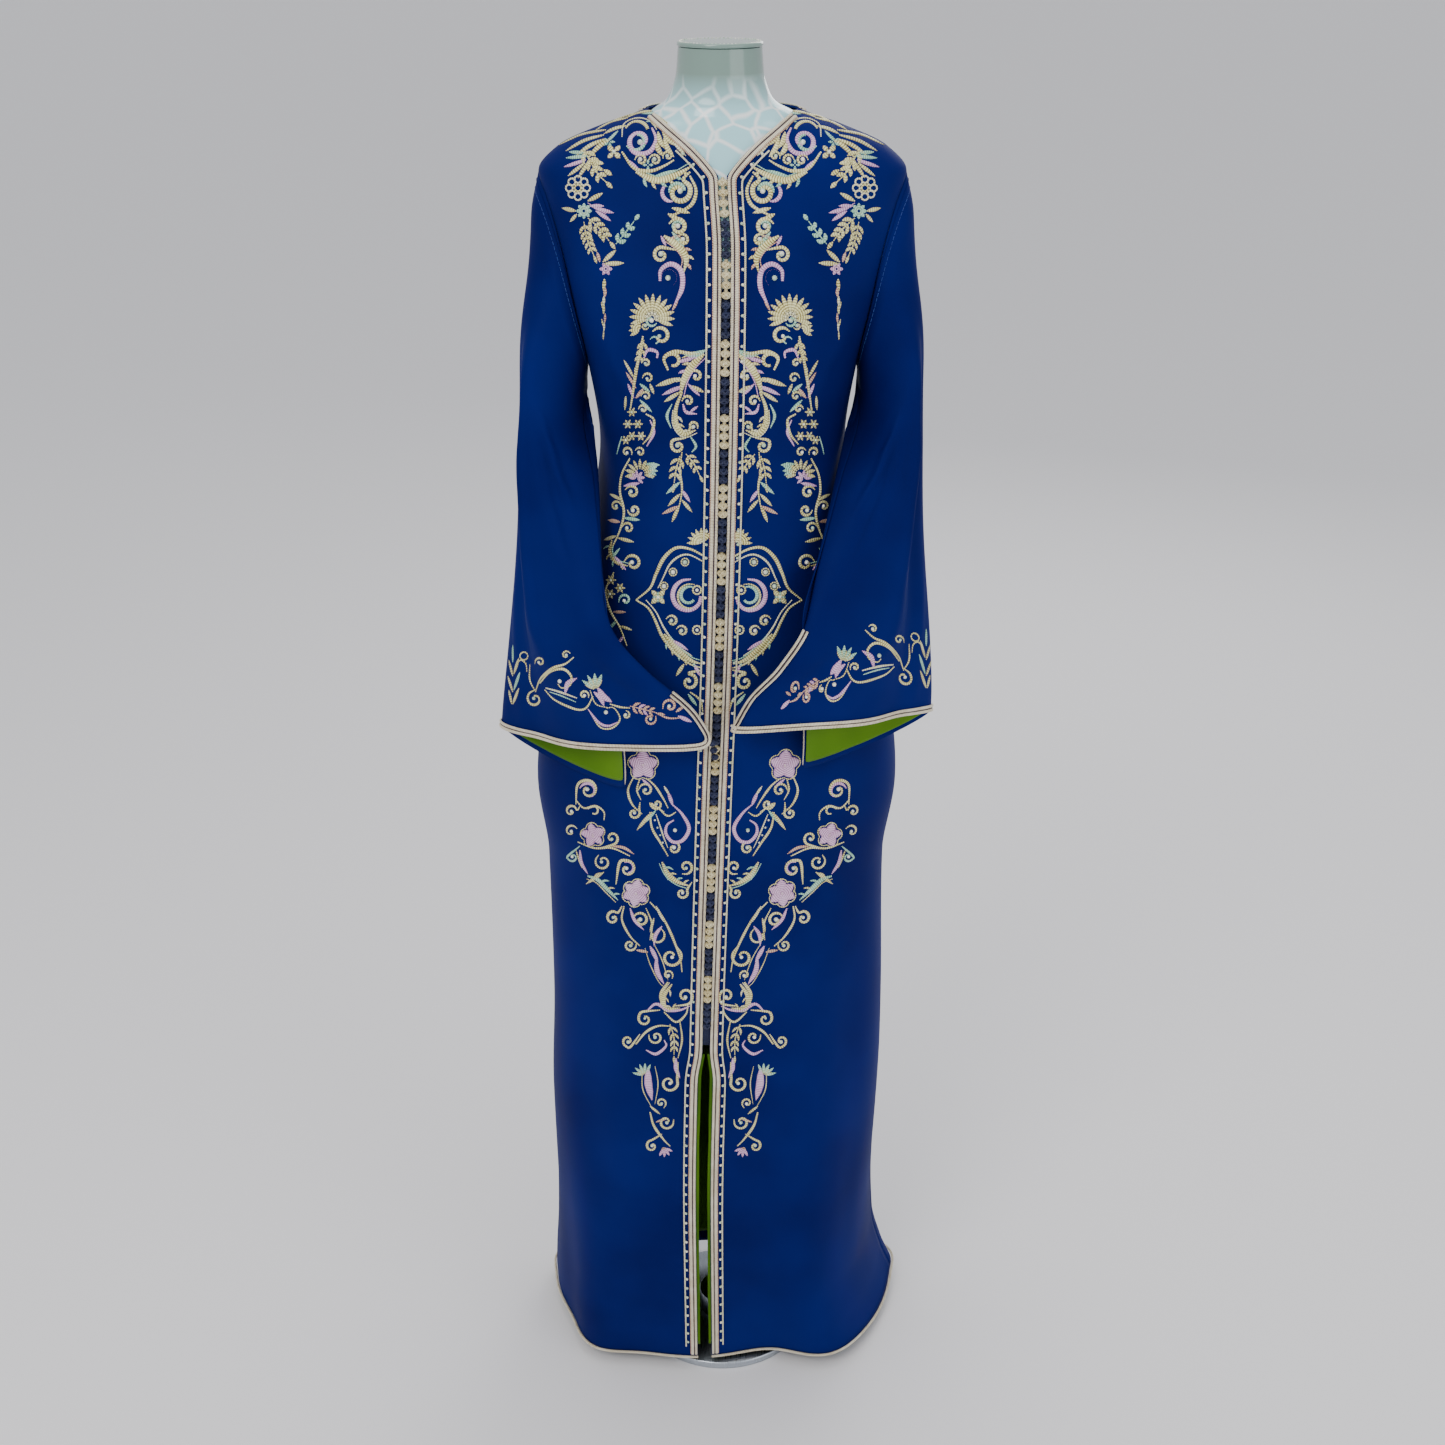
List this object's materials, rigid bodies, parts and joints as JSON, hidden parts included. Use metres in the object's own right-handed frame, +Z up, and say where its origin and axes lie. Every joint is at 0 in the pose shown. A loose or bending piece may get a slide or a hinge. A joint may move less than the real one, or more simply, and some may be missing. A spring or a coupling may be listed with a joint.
{
  "type": "kaftan on a dress form",
  "caption": "Floor-length kaftan with wide open sleeves, braided edges, knotted front buttons and a front slit, carried by a limbless dress form on a round stand.",
  "frame": {"origin": "on the floor, on the underside of the stand base, under the middle of the garment", "axes": "+Z up along the garment; the front of the garment faces -Y; the wearer's left is at +X"},
  "size_m": [0.4767, 0.2878, 1.5828],
  "materials": {
    "royal_crepe": "smooth royal blue crepe with a soft sheen",
    "green_lining": "olive green satin",
    "gold_braid": "woven metallic gold braid",
    "cream_cord": "twisted cream and gold cord",
    "gold_knot": "knotted gold thread",
    "navy_knot": "knotted navy thread",
    "pale_form": "pale mint gloss",
    "steel": "brushed"
  },
  "bodies": {
    "root": {"front_left": "royal_crepe", "front_right": "royal_crepe", "back": "royal_crepe", "sleeve_left": "royal_crepe", "sleeve_right": "royal_crepe", "skirt_lining_back": "green_lining", "skirt_lining_left": "green_lining", "skirt_lining_right": "green_lining", "sleeve_lining_left": "green_lining", "sleeve_lining_right": "green_lining", "sfifa_left": "gold_braid", "sfifa_right": "gold_braid", "sfifa_neck_back": "gold_braid", "cuff_braid_left": "gold_braid", "cuff_braid_right": "gold_braid", "hem_cord": "gold_braid", "picot_cord_left": "cream_cord", "picot_cord_right": "cream_cord", "closure_tape": "navy_knot", "cuff_knot": "navy_knot", "knots_01_gold": "gold_knot", "knots_02_navy": "navy_knot", "knots_03_gold": "gold_knot", "knots_04_navy": "navy_knot", "knots_05_gold": "gold_knot", "knots_06_navy": "navy_knot", "knots_07_gold": "gold_knot", "knots_08_navy": "navy_knot", "knots_09_gold": "gold_knot", "knots_10_navy": "navy_knot", "knots_11_gold": "gold_knot", "knots_12_navy": "navy_knot", "knots_13_gold": "gold_knot", "knots_14_navy": "navy_knot", "knots_15_gold": "gold_knot", "knots_16_navy": "navy_knot", "knots_17_gold": "gold_knot", "knots_18_navy": "navy_knot", "knots_19_gold": "gold_knot", "knots_20_navy": "navy_knot", "knots_21_gold": "gold_knot", "knots_22_navy": "navy_knot", "knots_23_gold": "gold_knot", "knots_24_navy": "navy_knot", "knots_25_gold": "gold_knot", "knots_26_navy": "navy_knot", "dress_form": "pale_form", "neck_cap": "pale_form", "stand_base": "steel", "stand_collar": "steel", "stand_pole": "steel"}
  },
  "joints": []
}
